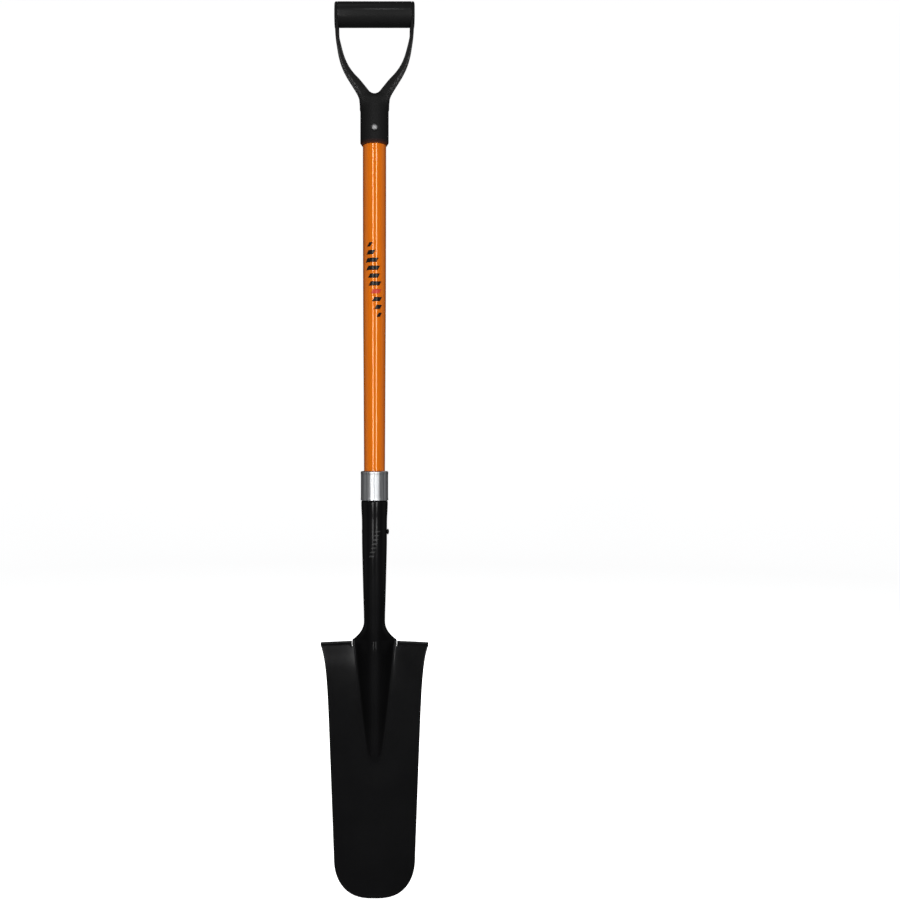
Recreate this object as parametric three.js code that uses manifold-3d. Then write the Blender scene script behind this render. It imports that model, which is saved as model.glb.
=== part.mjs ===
// Drain spade with a D-shaped hand grip: a long narrow steel blade with a rolled socket,
// a fibreglass shaft, a steel ferrule and a moulded grip yoke that carries a crossbar.
// Millimetres, +Z up, tip of the blade down, the dished face of the blade towards -Y.
// The origin is the middle of the crossbar, on its axis.

import * as THREE from 'three';
import { mergeVertices } from 'three/addons/utils/BufferGeometryUtils.js';
import Module from 'manifold-3d';

const wasm = await Module();
wasm.setup();

// ---- driving dimensions ----------------------------------------------------------------

const FIT_GAP = 0.3; // clearance between two pieces that touch
const HALF_TURN = Math.PI;
const QUARTER_TURN = Math.PI / 2;
const TURNED_STEPS = 32; // facets round a turned piece

// Crossbar and its rod, along X.
const BAR_RADIUS = 17.1;
const BAR_HALF_LENGTH = 54.6; // to the outer faces of the ears
const EAR_THICKNESS = 3.6;
const EAR_ROUND = 2.6;
const ROD_RADIUS = 4;
const ROD_RECESS = 0.7; // rod ends below the ears' outer faces
const END_SOFTENING = 0.8; // edge chamfer of the sleeve, the rod and the flush rivet end

// Grip yoke: two arms that meet in a round socket.
// Right arm: [height, outer edge, inner edge, half depth] from the crossbar down to the root.
const ARM_PROFILE = [
  [-8, 54.1, 48.5, 13],
  [-20, 53.9, 48.2, 11.8],
  [-32, 53.1, 47.7, 11],
  [-44, 51.4, 45, 10.4],
  [-56, 49.3, 41.7, 10.1],
  [-66, 46.6, 37.9, 10.2],
  [-75, 43.1, 32.9, 10.6],
  [-83, 39, 26.9, 11.3],
  [-91, 34.1, 19.5, 12.6],
  [-99, 28.9, 12.6, 14.2],
  [-107, 24.1, 5.9, 14.8],
  [-114, 21.1, -1, 14],
  [-125, 18.6, -1, 10],
];
const ARM_SECTION_STEPS = 16;
const ARM_SQUARENESS = 0.6; // 1 for an elliptical section, less for a squarer one
const YOKE_RADIUS = 19.4;
const YOKE_CROWN_Z = -109.2; // floor of the hand opening
const YOKE_CROWN_ROUND = 7;
const YOKE_RIM_Z = -180.4;
const YOKE_RIM_CHAMFER_WIDTH = 2.9;
const YOKE_RIM_CHAMFER_HEIGHT = 4.3;
const YOKE_BORE_RADIUS = 16.3;
const GRIP_RIVET_Z = -159;

// Shaft: a fibreglass tube, [height, outer radius] from its top to its foot.
const SHAFT_PROFILE = [
  [-124, 15.95],
  [-225, 15.95],
  [-390, 15.6],
  [-500, 15],
  [-615, 14.4],
  [-752, 13.8],
];
const SHAFT_BORE_RADIUS = 9.5;
const SHAFT_TOP_Z = SHAFT_PROFILE[0][0];
const SHAFT_FOOT_Z = SHAFT_PROFILE.at(-1)[0];
const PLUG_LENGTH = 96;
const PLUG_RECESS = 1;

// Ferrule over the mouth of the blade's socket.
const FERRULE_TOP_Z = -624.4;
const FERRULE_FOOT_Z = -664.6;
const FERRULE_RADIUS = 18.9;
const FERRULE_WALL = 1.4;
const FERRULE_LIP_RADIUS = 14.8; // hole in its rolled top
const FERRULE_ROUND = 2.4;

// Rolled socket of the blade, [height, outer radius] from its foot to its mouth.
const SOCKET_PROFILE = [
  [-818, 14.7],
  [-803, 15.15],
  [-787, 15.6],
  [-766, 16.1],
  [-746, 16.6],
  [-725, 17.05],
  [-690, 17.3],
  [-678, 17.9],
  [-665.9, 18.1],
  [-664.9, 17],
  [-632, 17],
];
const SOCKET_SEAM = THREE.MathUtils.degToRad(176); // half the wrap of the rolled sheet
const SOCKET_CLOSED_Z = -792; // the sheet's edges meet at the back above this height
const SOCKET_RIVET_Z = -707.3;
const SOCKET_RIVET_SEAT = 17.3; // radius of the socket at that rivet

// Blade.
const SHEET = 2;
const TREAD_Z = -859.5; // top of the turned steps, where the depths below are measured from
const BLADE_LENGTH = 344.5;
const HALF_WIDTH = 65.7; // straight taper of the sides, carried up to the steps
const SIDE_TAPER = 0.0395;
const FLARE = 7.8;
const FLARE_FADE = 24;
const TIP_ROUND = 60; // depth of the rounded end
const TIP_CORNER = Math.PI / 4;
const TIP_SQUARENESS = 2.3; // 2 for an elliptical end, more for a blunter one
const PAN_BACK = 5; // how far the pan lies behind the shaft's axis at the steps
const PAN_LIFT = 18; // how far the tip comes forward
const PAN_ROLL = 4;
const PAN_ROLL_FADE = 18;
const DISH_SLOPE = 0.285; // how steeply the pan's sides come forward
const DISH_FLOOR = 19; // width over which its floor turns into its sides
const RIDGE_HEIGHT = 24.1;
const RIDGE_RUN = 190; // depth at which the ridge's crest would reach the pan
const RIDGE_LENGTH = 163; // depth at which its blunt end does
const RIDGE_END_SLOPE = 0.45;
const RIDGE_END_BLEND = 1.5;
const RIDGE_SLOPE = 1.1;
const RIDGE_CREST = 12;
const RIDGE_FOOT_BLEND = 1.6;
const RIDGE_HALF_WIDTH = 30.2;
const RIDGE_TAPER = 0.108;
const RIDGE_COLUMN_SHARE = 0.27;
const STEP_BEND = 5;
const STEP_FLAT = 8.5;
const WING_FOOT_DEPTH = -3.7;
const WING_HEIGHT = 26;
const WING_CURVE = 2.1;
const NECK_RADIUS = 14.5;

// Rivets.
const RIVET_RADIUS = 3;
const RIVET_HOLE_RADIUS = RIVET_RADIUS + FIT_GAP;
const GRIP_HEAD_RADIUS = 4.9;
const GRIP_HEAD_HEIGHT = 2.3;
const SPOT_FACE_Y = 18.3; // flats cut for the grip rivet's head and washer
const WASHER_RADIUS = 6;
const WASHER_THICKNESS = 1.2;
const TAIL_RADIUS = 3.9;
const TAIL_HEIGHT = 1.4;
const SPOT_FACE_MARGIN = 0.5;
const CUTTER_REACH = 60; // drills and cutters run clear through every piece
const DRILL_STEPS = 20;
const SMALL_STEPS = 24;
const SOCKET_HEAD_RADIUS = 4.1;
const SOCKET_HEAD_HEIGHT = 2.4;

// ---- materials -------------------------------------------------------------------------

const materials = {
  blackPaint: { color: 0x141516, roughness: 0.38, metalness: 0.1 },
  blackPolymer: { color: 0x1a1b1c, roughness: 0.6, metalness: 0 },
  orangeFibreglass: { color: 0xc9631a, roughness: 0.25, metalness: 0 },
  plug: { color: 0xb08a5a, roughness: 0.8, metalness: 0 },
  brightSteel: { color: 0xb9bcbe, roughness: 0.3, metalness: 1 },
};

// ---- solids ----------------------------------------------------------------------------

function signedVolume(points, triangles) {
  const corner = (k) => new THREE.Vector3().fromArray(points, triangles[k] * 3);
  let sum = 0;
  for (let k = 0; k < triangles.length; k += 3) {
    sum += corner(k).dot(corner(k + 1).cross(corner(k + 2)));
  }
  return sum / 6;
}

// A manifold-3d solid from a closed three.js geometry, with its faces turned outwards.
function solidFrom(geometry) {
  const bare = geometry.clone();
  bare.deleteAttribute('normal');
  bare.deleteAttribute('uv');
  const merged = mergeVertices(bare, 1e-4);
  const index = merged.index.array;
  const triangles = [];
  for (let k = 0; k < index.length; k += 3) {
    const [a, b, c] = [index[k], index[k + 1], index[k + 2]];
    if (a !== b && b !== c && c !== a) triangles.push(a, b, c);
  }
  const points = Float32Array.from(merged.attributes.position.array);
  const outward = signedVolume(points, triangles) > 0;
  const triVerts = Uint32Array.from(outward ? triangles : triangles.reverse());
  return new wasm.Manifold(new wasm.Mesh({ numProp: 3, vertProperties: points, triVerts }));
}

function geometryFrom(solid) {
  const mesh = solid.getMesh();
  const geometry = new THREE.BufferGeometry();
  geometry.setAttribute('position', new THREE.BufferAttribute(mesh.vertProperties, 3));
  geometry.setIndex(new THREE.BufferAttribute(mesh.triVerts, 1));
  geometry.computeVertexNormals();
  return geometry;
}

// A solid turned about Z from a closed profile of [radius, height] points.
function turnedZ(profile, steps = TURNED_STEPS) {
  const outline = profile.map(([radius, height]) => new THREE.Vector2(radius, height));
  const first = outline[0];
  if (first.x > 0) outline.push(first.clone());
  return new THREE.LatheGeometry(outline, steps).rotateX(QUARTER_TURN);
}

// The same, turned about X: a profile height becomes a distance along +X.
function turnedX(profile, steps) {
  return turnedZ(profile, steps).rotateY(QUARTER_TURN);
}

// The same, turned about Y: a profile height becomes a distance along -Y.
function turnedFront(profile, steps) {
  return turnedZ(profile, steps).rotateX(QUARTER_TURN);
}

function pin(radius, from, to) {
  return [[0, from], [radius, from], [radius, to], [0, to]];
}

function tube(outer, inner, from, to) {
  return [[inner, from], [outer, from], [outer, to], [inner, to]];
}

// A quarter round of a profile, about [radius, height], from one angle to another.
function roundCorner(centreRadius, centreHeight, size, fromAngle, toAngle, steps = 4) {
  return Array.from({ length: steps + 1 }, (_, k) => {
    const angle = fromAngle + ((toAngle - fromAngle) * k) / steps;
    return [centreRadius + size * Math.cos(angle), centreHeight + size * Math.sin(angle)];
  });
}

// A dome of a rivet head on the flat at `base`, rising by `height` to the axis.
function dome(radius, base, height, steps = 5) {
  return Array.from({ length: steps + 1 }, (_, k) => {
    const angle = (QUARTER_TURN * k) / steps;
    return [k === steps ? 0 : radius * Math.cos(angle), base + height * Math.sin(angle)];
  });
}

// A closed solid from rings of equal length that follow each other, with flat ends.
function loftGeometry(rings) {
  const size = rings[0].length;
  const triangles = [];
  for (let row = 0; row + 1 < rings.length; row += 1) {
    for (let k = 0; k < size; k += 1) {
      const a = row * size + k;
      const b = row * size + ((k + 1) % size);
      triangles.push(a, b, a + size, b, b + size, a + size);
    }
  }
  const last = (rings.length - 1) * size;
  for (let k = 1; k + 1 < size; k += 1) {
    triangles.push(0, k + 1, k, last, last + k, last + k + 1);
  }
  const geometry = new THREE.BufferGeometry().setFromPoints(rings.flat());
  geometry.setIndex(triangles);
  return geometry;
}

// A drill along Y through the grip, and one along X through the blade's socket.
function gripRivetHole() {
  const drill = pin(RIVET_HOLE_RADIUS, -CUTTER_REACH, CUTTER_REACH);
  return turnedFront(drill, DRILL_STEPS).translate(0, 0, GRIP_RIVET_Z);
}

function socketRivetHole() {
  const drill = pin(RIVET_HOLE_RADIUS, -CUTTER_REACH, CUTTER_REACH);
  return turnedX(drill, DRILL_STEPS).translate(0, 0, SOCKET_RIVET_Z);
}

// ---- blade surface ---------------------------------------------------------------------

function bladeHalfWidth(depth) {
  return HALF_WIDTH - SIDE_TAPER * depth + FLARE * Math.exp(-depth / FLARE_FADE);
}

// The smaller of two values, with the corner between them rounded by `blend`.
function softMin(a, b, blend) {
  return (a + b - Math.hypot(a - b, blend)) / 2;
}

function panY(x, depth) {
  const lengthwise = PAN_ROLL * Math.exp(-depth / PAN_ROLL_FADE) - (PAN_LIFT * depth) / BLADE_LENGTH;
  return PAN_BACK + lengthwise - DISH_SLOPE * (Math.hypot(x, DISH_FLOOR) - DISH_FLOOR);
}

// The ridge is the front of the socket, run down into the pan until it sinks in it.
function ridgeHeight(depth) {
  const crest = RIDGE_HEIGHT * (1 - depth / RIDGE_RUN);
  const end = RIDGE_END_SLOPE * (RIDGE_LENGTH - depth);
  return softMin(crest, end, RIDGE_END_BLEND);
}

function frontY(x, depth) {
  const pan = panY(x, depth);
  const flank = Math.hypot(RIDGE_SLOPE * x, RIDGE_CREST) - RIDGE_CREST;
  const ridge = panY(0, depth) - ridgeHeight(depth) + flank;
  return softMin(pan, ridge, RIDGE_FOOT_BLEND);
}

function bladePoint(x, depth) {
  return new THREE.Vector3(x, frontY(x, depth), TREAD_Z - depth);
}

// Columns across the blade: the middle ones follow the ridge and go on round the socket.
const MIDDLE_COLUMNS = Array.from({ length: 25 }, (_, k) => k / 12 - 1);
const SIDE_SHARES = [0.025, 0.25, 0.45, 0.65, 0.84, 1];

function middleHalfWidth(depth) {
  const ridge = RIDGE_HALF_WIDTH - RIDGE_TAPER * Math.max(depth, 0);
  return Math.max(ridge, RIDGE_COLUMN_SHARE * bladeHalfWidth(depth));
}

function columnPlaces(depth) {
  const edge = bladeHalfWidth(depth);
  const middle = middleHalfWidth(depth);
  const inner = MIDDLE_COLUMNS.map((u) => middle * Math.sin(QUARTER_TURN * u));
  const right = SIDE_SHARES.map((share) => middle + (edge - middle) * share);
  const left = right.map((x) => -x).reverse();
  return [...left, ...inner, ...right];
}

// How far a point of the unit disc moves outwards when its rim is squared off.
function squaring(right, down) {
  const power = TIP_SQUARENESS;
  const norm = (Math.abs(right) ** power + Math.abs(down) ** power) ** (1 / power);
  return norm > 0 ? Math.hypot(right, down) / norm : 1;
}

// A row of the rounded end: straight across at its start, the cutting edge at its end.
function tipRow(progress) {
  const start = BLADE_LENGTH - TIP_ROUND;
  const edge = bladeHalfWidth(start);
  const side = TIP_CORNER * progress;
  const sideDepth = start + TIP_ROUND * Math.sin(side);
  const bulge = start + TIP_ROUND * progress - sideDepth;
  return columnPlaces(start).map((x) => {
    const share = x / edge;
    const bent = Math.sin(TIP_CORNER * share) / Math.sin(TIP_CORNER);
    const across = THREE.MathUtils.lerp(share, bent, progress);
    const crown = (Math.cos(TIP_CORNER * share) - Math.cos(TIP_CORNER)) / (1 - Math.cos(TIP_CORNER));
    const right = Math.cos(side) * across;
    const down = (sideDepth + bulge * crown - start) / TIP_ROUND;
    const squared = squaring(right, down);
    return bladePoint(edge * right * squared, start + TIP_ROUND * down * squared);
  });
}

function panRow(depth) {
  return columnPlaces(depth).map((x) => bladePoint(x, depth));
}

// A row of the wings beside the socket: the ridge's section closing to a half circle.
function wingRow(rise) {
  const closing = 1 - (1 - rise) ** WING_CURVE;
  return MIDDLE_COLUMNS.map((u) => {
    const angle = QUARTER_TURN * u;
    const flared = bladePoint(RIDGE_HALF_WIDTH * Math.sin(angle), WING_FOOT_DEPTH);
    const [across, back] = [Math.sin(angle), -Math.cos(angle)];
    const round = new THREE.Vector3(NECK_RADIUS * across, NECK_RADIUS * back, flared.z);
    return flared.lerp(round, closing).setZ(TREAD_Z - WING_FOOT_DEPTH + WING_HEIGHT * rise);
  });
}

function socketRow(height, radius) {
  const wingTop = TREAD_Z - WING_FOOT_DEPTH + WING_HEIGHT;
  const rolled = Math.min(1, (height - wingTop) / (SOCKET_CLOSED_Z - wingTop));
  const wrap = THREE.MathUtils.lerp(QUARTER_TURN, SOCKET_SEAM, rolled);
  return MIDDLE_COLUMNS.map((u) => {
    const angle = wrap * u;
    return new THREE.Vector3(radius * Math.sin(angle), -radius * Math.cos(angle), height);
  });
}

// A row of the turned step, carried back from the top of the pan.
function stepRow(base, back, rise) {
  const spread = bladeHalfWidth(STEP_BEND - rise) / bladeHalfWidth(STEP_BEND);
  return base.map((point) => new THREE.Vector3(point.x * spread, point.y + back, point.z + rise));
}

// Thickens a sheet of quads, whose corners run anticlockwise seen from the front.
function thickenedGeometry(points, quads, thickness) {
  const normals = points.map(() => new THREE.Vector3());
  for (const [a, b, c, d] of quads) {
    const diagonal = points[c].clone().sub(points[a]);
    const normal = diagonal.cross(points[d].clone().sub(points[b]));
    for (const corner of [a, b, c, d]) normals[corner].add(normal);
  }
  const inward = (k) => normals[k].normalize().multiplyScalar(-thickness);
  const back = points.map((point, k) => point.clone().add(inward(k)));
  const count = points.length;
  const edgesOf = ([a, b, c, d]) => [`${a} ${b}`, `${b} ${c}`, `${c} ${d}`, `${d} ${a}`];
  const used = new Set(quads.flatMap(edgesOf));
  const triangles = quads.flatMap(([a, b, c, d]) => [a, b, c, a, c, d]);
  triangles.push(...quads.flatMap(([a, b, c, d]) => [a, c, b, a, d, c].map((k) => k + count)));
  for (const edge of used) {
    const [a, b] = edge.split(' ').map(Number);
    if (used.has(`${b} ${a}`)) continue;
    triangles.push(b, a, a + count, b, a + count, b + count);
  }
  const geometry = new THREE.BufferGeometry().setFromPoints([...points, ...back]);
  geometry.setIndex(triangles);
  return geometry;
}

// Pan, steps, wings and socket are one stamped sheet.
function bladeGeometry() {
  const points = [];
  const quads = [];
  const addRow = (row) => row.map((point) => points.push(point) - 1);
  const addStrips = (rows) => {
    for (let k = 0; k + 1 < rows.length; k += 1) {
      for (let c = 0; c + 1 < rows[k].length; c += 1) {
        quads.push([rows[k][c], rows[k][c + 1], rows[k + 1][c + 1], rows[k + 1][c]]);
      }
    }
  };
  const tipRows = [1, 0.86, 0.7, 0.52, 0.34, 0.16].map(tipRow);
  const lowDepths = [BLADE_LENGTH - TIP_ROUND, 262, 238, 214, 190, 172, 163, 156, 147, 134, 118];
  const highDepths = [100, 80, 60, 42, 28, 16, STEP_BEND];
  const panRows = [...lowDepths, ...highDepths].map(panRow);
  const bladeRows = [...tipRows, ...panRows].map(addRow);
  addStrips(bladeRows);

  const topRow = bladeRows.at(-1);
  const sides = SIDE_SHARES.length;
  const collarPlaces = MIDDLE_COLUMNS.map((u) => RIDGE_HALF_WIDTH * Math.sin(QUARTER_TURN * u));
  const collarRow = collarPlaces.map((x) => bladePoint(x, 0));
  const wingRows = [0, 0.12, 0.26, 0.42, 0.6, 0.8, 1].map(wingRow);
  const socketRows = SOCKET_PROFILE.map(([height, radius]) => socketRow(height, radius));
  const middleRows = [collarRow, ...wingRows, ...socketRows].map(addRow);
  addStrips([topRow.slice(sides, -sides), ...middleRows]);

  for (const base of [topRow.slice(0, sides), topRow.slice(-sides)]) {
    const edge = base.map((k) => points[k]);
    const bends = [30, 60, 90].map(THREE.MathUtils.degToRad);
    const rows = bends.map((angle) => {
      return stepRow(edge, STEP_BEND * (1 - Math.cos(angle)), STEP_BEND * Math.sin(angle));
    });
    rows.push(stepRow(edge, STEP_BEND + STEP_FLAT, STEP_BEND));
    addStrips([base, ...rows.map(addRow)]);
  }
  const sheet = solidFrom(thickenedGeometry(points, quads, SHEET));
  return geometryFrom(sheet.subtract(solidFrom(socketRivetHole())));
}

// ---- other pieces ----------------------------------------------------------------------

function ferruleGeometry() {
  const inner = FERRULE_RADIUS - FERRULE_WALL;
  const under = FERRULE_TOP_Z - FERRULE_WALL;
  const rimRadius = FERRULE_RADIUS - FERRULE_ROUND;
  const rimHeight = FERRULE_TOP_Z - FERRULE_ROUND;
  const rim = roundCorner(rimRadius, rimHeight, FERRULE_ROUND, 0, QUARTER_TURN);
  const outline = [
    [inner, under - FERRULE_ROUND],
    [inner, FERRULE_FOOT_Z],
    [FERRULE_RADIUS, FERRULE_FOOT_Z],
    ...rim,
    [FERRULE_LIP_RADIUS, FERRULE_TOP_Z],
    [FERRULE_LIP_RADIUS, under],
    [inner - FERRULE_WALL, under],
  ];
  return geometryFrom(solidFrom(turnedZ(outline)));
}

function shaftGeometry() {
  const outside = SHAFT_PROFILE.map(([height, radius]) => [radius, height]);
  const outline = [[SHAFT_BORE_RADIUS, SHAFT_TOP_Z], ...outside, [SHAFT_BORE_RADIUS, SHAFT_FOOT_Z]];
  const body = solidFrom(turnedZ(outline));
  const holes = [gripRivetHole(), socketRivetHole()].map(solidFrom);
  return geometryFrom(body.subtract(holes[0]).subtract(holes[1]));
}

function plugGeometry(from, to, rivetHole) {
  const body = solidFrom(turnedZ(pin(SHAFT_BORE_RADIUS - FIT_GAP, from, to), SMALL_STEPS));
  return geometryFrom(body.subtract(solidFrom(rivetHole)));
}

function upperPlugGeometry() {
  return plugGeometry(SHAFT_TOP_Z - PLUG_LENGTH, SHAFT_TOP_Z - PLUG_RECESS, gripRivetHole());
}

function lowerPlugGeometry() {
  return plugGeometry(SHAFT_FOOT_Z + PLUG_RECESS, SHAFT_FOOT_Z + PLUG_LENGTH, socketRivetHole());
}

// A level section of the arm: a rounded bar from its outer edge to its inner edge.
function armRing([height, outer, inner, halfDepth]) {
  const middle = (outer + inner) / 2;
  const reach = (outer - inner) / 2;
  const rounded = (value) => Math.sign(value) * Math.abs(value) ** ARM_SQUARENESS;
  return Array.from({ length: ARM_SECTION_STEPS }, (_, k) => {
    const angle = (2 * HALF_TURN * k) / ARM_SECTION_STEPS;
    const across = middle + reach * rounded(Math.cos(angle));
    return new THREE.Vector3(across, halfDepth * rounded(Math.sin(angle)), height);
  });
}

function earProfile() {
  const rimRadius = BAR_RADIUS - EAR_ROUND;
  const rimReach = BAR_HALF_LENGTH - EAR_ROUND;
  const rim = roundCorner(rimRadius, rimReach, EAR_ROUND, 0, QUARTER_TURN);
  return [
    [ROD_RADIUS + FIT_GAP, BAR_HALF_LENGTH - EAR_THICKNESS],
    [BAR_RADIUS, BAR_HALF_LENGTH - EAR_THICKNESS],
    ...rim,
    [ROD_RADIUS + FIT_GAP, BAR_HALF_LENGTH],
  ];
}

function yokeSocketProfile() {
  const crownRadius = YOKE_RADIUS - YOKE_CROWN_ROUND;
  const crownHeight = YOKE_CROWN_Z - YOKE_CROWN_ROUND;
  const crown = roundCorner(crownRadius, crownHeight, YOKE_CROWN_ROUND, 0, QUARTER_TURN);
  return [
    [0, YOKE_RIM_Z],
    [YOKE_RADIUS - YOKE_RIM_CHAMFER_WIDTH, YOKE_RIM_Z],
    [YOKE_RADIUS, YOKE_RIM_Z + YOKE_RIM_CHAMFER_HEIGHT],
    ...crown,
    [0, YOKE_CROWN_Z],
  ];
}

// The flats that the grip rivet's head and washer sit on.
function spotFace(radius, from, to) {
  return turnedFront(pin(radius, from, to), SMALL_STEPS).translate(0, 0, GRIP_RIVET_Z);
}

// Ears, arms and socket are one moulding.
function yokeGeometry() {
  const mirrored = (solid) => solid.mirror([1, 0, 0]);
  const arm = solidFrom(loftGeometry(ARM_PROFILE.map(armRing)));
  const ear = solidFrom(turnedX(earProfile()));
  const socket = solidFrom(turnedZ(yokeSocketProfile()));
  const joined = socket.add(arm).add(mirrored(arm)).add(ear).add(mirrored(ear));
  const sleeveReach = BAR_HALF_LENGTH - EAR_THICKNESS;
  const headSeat = GRIP_HEAD_RADIUS + SPOT_FACE_MARGIN;
  const washerSeat = WASHER_RADIUS + SPOT_FACE_MARGIN;
  const spaces = [
    turnedX(pin(BAR_RADIUS + FIT_GAP, -sleeveReach, sleeveReach)),
    turnedX(pin(ROD_RADIUS + FIT_GAP, -CUTTER_REACH, CUTTER_REACH)),
    turnedZ(pin(YOKE_BORE_RADIUS, YOKE_RIM_Z - 1, SHAFT_TOP_Z + 1)),
    gripRivetHole(),
    spotFace(headSeat, SPOT_FACE_Y, CUTTER_REACH),
    spotFace(washerSeat, -CUTTER_REACH, -SPOT_FACE_Y),
  ];
  const cutOut = (solid, space) => solid.subtract(solidFrom(space));
  return geometryFrom(spaces.reduce(cutOut, joined));
}

function sleeveGeometry() {
  const half = BAR_HALF_LENGTH - EAR_THICKNESS - FIT_GAP;
  const outline = [
    [ROD_RADIUS + FIT_GAP, -half],
    [BAR_RADIUS - END_SOFTENING, -half],
    [BAR_RADIUS, -half + END_SOFTENING],
    [BAR_RADIUS, half - END_SOFTENING],
    [BAR_RADIUS - END_SOFTENING, half],
    [ROD_RADIUS + FIT_GAP, half],
  ];
  return geometryFrom(solidFrom(turnedX(outline)));
}

function rodGeometry() {
  const end = BAR_HALF_LENGTH - ROD_RECESS;
  const outline = [
    [0, -end],
    [ROD_RADIUS - END_SOFTENING, -end],
    [ROD_RADIUS, -end + END_SOFTENING],
    [ROD_RADIUS, end - END_SOFTENING],
    [ROD_RADIUS - END_SOFTENING, end],
    [0, end],
  ];
  return geometryFrom(solidFrom(turnedX(outline, SMALL_STEPS)));
}

// Domed head at the front, tail peened over the washer at the back.
function gripRivetGeometry() {
  const headBase = SPOT_FACE_Y + FIT_GAP;
  const tailBase = SPOT_FACE_Y + WASHER_THICKNESS + 2 * FIT_GAP;
  const tail = dome(TAIL_RADIUS, tailBase, TAIL_HEIGHT).map(([radius, place]) => [radius, -place]);
  const head = dome(GRIP_HEAD_RADIUS, headBase, GRIP_HEAD_HEIGHT);
  const outline = [...tail.reverse(), [RIVET_RADIUS, -tailBase], [RIVET_RADIUS, headBase], ...head];
  return geometryFrom(solidFrom(turnedFront(outline, SMALL_STEPS).translate(0, 0, GRIP_RIVET_Z)));
}

function washerGeometry() {
  const near = SPOT_FACE_Y + FIT_GAP;
  const outline = tube(WASHER_RADIUS, RIVET_HOLE_RADIUS, near, near + WASHER_THICKNESS);
  const placed = turnedFront(outline, SMALL_STEPS).rotateZ(HALF_TURN).translate(0, 0, GRIP_RIVET_Z);
  return geometryFrom(solidFrom(placed));
}

// Domed head on the right of the socket, its other end flush with the left.
function socketRivetGeometry() {
  const flush = -SOCKET_RIVET_SEAT;
  const headBase = SOCKET_RIVET_SEAT + FIT_GAP;
  const head = dome(SOCKET_HEAD_RADIUS, headBase, SOCKET_HEAD_HEIGHT);
  const end = [[0, flush], [RIVET_RADIUS - END_SOFTENING, flush], [RIVET_RADIUS, flush + END_SOFTENING]];
  const outline = [...end, [RIVET_RADIUS, headBase], ...head];
  return geometryFrom(solidFrom(turnedX(outline, SMALL_STEPS).translate(0, 0, SOCKET_RIVET_Z)));
}

// ---- assembly --------------------------------------------------------------------------

function piece(name, geometry, look) {
  const mesh = new THREE.Mesh(geometry, new THREE.MeshStandardMaterial(look));
  mesh.name = name;
  return mesh;
}

const spade = new THREE.Group();
spade.add(
  piece('blade_with_socket', bladeGeometry(), materials.blackPaint),
  piece('socket_rivet', socketRivetGeometry(), materials.blackPaint),
  piece('ferrule', ferruleGeometry(), materials.brightSteel),
  piece('shaft', shaftGeometry(), materials.orangeFibreglass),
  piece('lower_shaft_plug', lowerPlugGeometry(), materials.plug),
  piece('upper_shaft_plug', upperPlugGeometry(), materials.plug),
  piece('grip_yoke', yokeGeometry(), materials.blackPolymer),
  piece('grip_sleeve', sleeveGeometry(), materials.blackPolymer),
  piece('grip_rod', rodGeometry(), materials.brightSteel),
  piece('grip_rivet', gripRivetGeometry(), materials.brightSteel),
  piece('grip_rivet_washer', washerGeometry(), materials.brightSteel),
);

export default spade;
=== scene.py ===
"""Looks of a drain spade with a D-shaped hand grip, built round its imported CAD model.

Metres, +Z up, blade tip down, the dished face of the blade towards -Y, origin at the middle of the
crossbar. Shapes below are worked out in millimetres and scaled when their meshes are made.
"""

import math

import bmesh
import bpy
import numpy as np
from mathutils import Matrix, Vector


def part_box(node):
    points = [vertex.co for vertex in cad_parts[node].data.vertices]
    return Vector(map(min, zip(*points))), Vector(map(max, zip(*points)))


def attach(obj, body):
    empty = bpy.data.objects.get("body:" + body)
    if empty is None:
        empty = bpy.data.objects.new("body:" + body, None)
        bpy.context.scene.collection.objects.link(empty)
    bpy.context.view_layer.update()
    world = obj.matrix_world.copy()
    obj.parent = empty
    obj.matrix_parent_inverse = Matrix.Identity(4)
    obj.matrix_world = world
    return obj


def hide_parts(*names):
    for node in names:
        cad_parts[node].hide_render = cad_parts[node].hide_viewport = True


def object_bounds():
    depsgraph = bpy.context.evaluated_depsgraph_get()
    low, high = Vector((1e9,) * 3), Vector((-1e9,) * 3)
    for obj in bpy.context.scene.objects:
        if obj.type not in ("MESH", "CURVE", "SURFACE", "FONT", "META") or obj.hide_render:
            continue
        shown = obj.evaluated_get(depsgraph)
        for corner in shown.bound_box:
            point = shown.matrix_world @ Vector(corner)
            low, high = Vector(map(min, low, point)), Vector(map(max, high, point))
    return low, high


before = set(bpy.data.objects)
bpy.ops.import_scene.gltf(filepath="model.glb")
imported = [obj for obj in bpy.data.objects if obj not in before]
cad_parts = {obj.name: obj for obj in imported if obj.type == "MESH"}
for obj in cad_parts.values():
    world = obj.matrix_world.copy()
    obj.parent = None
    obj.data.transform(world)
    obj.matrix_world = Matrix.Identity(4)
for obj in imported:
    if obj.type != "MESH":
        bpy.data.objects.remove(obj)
cad_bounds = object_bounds()

MM = 0.001
QUARTER_TURN = math.pi / 2


def box_mm(node):
    """Lowest and highest corners of a CAD node, in millimetres."""
    low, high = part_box(node)
    return low / MM, high / MM


# ---- sizes taken from the frame ----------------------------------------------------------

YOKE_LOW, YOKE_HIGH = box_mm("grip_yoke")
SHAFT_LOW, SHAFT_HIGH = box_mm("shaft")
FERRULE_LOW, FERRULE_HIGH = box_mm("ferrule")
GRIP_RIVET_LOW, GRIP_RIVET_HIGH = box_mm("grip_rivet")
WASHER_LOW, WASHER_HIGH = box_mm("grip_rivet_washer")
SOCKET_RIVET_LOW, SOCKET_RIVET_HIGH = box_mm("socket_rivet")
SLEEVE_END = box_mm("grip_sleeve")[1]
ROD_END = box_mm("grip_rod")[1]
BLADE_TIP_Z = box_mm("blade_with_socket")[0].z

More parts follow.
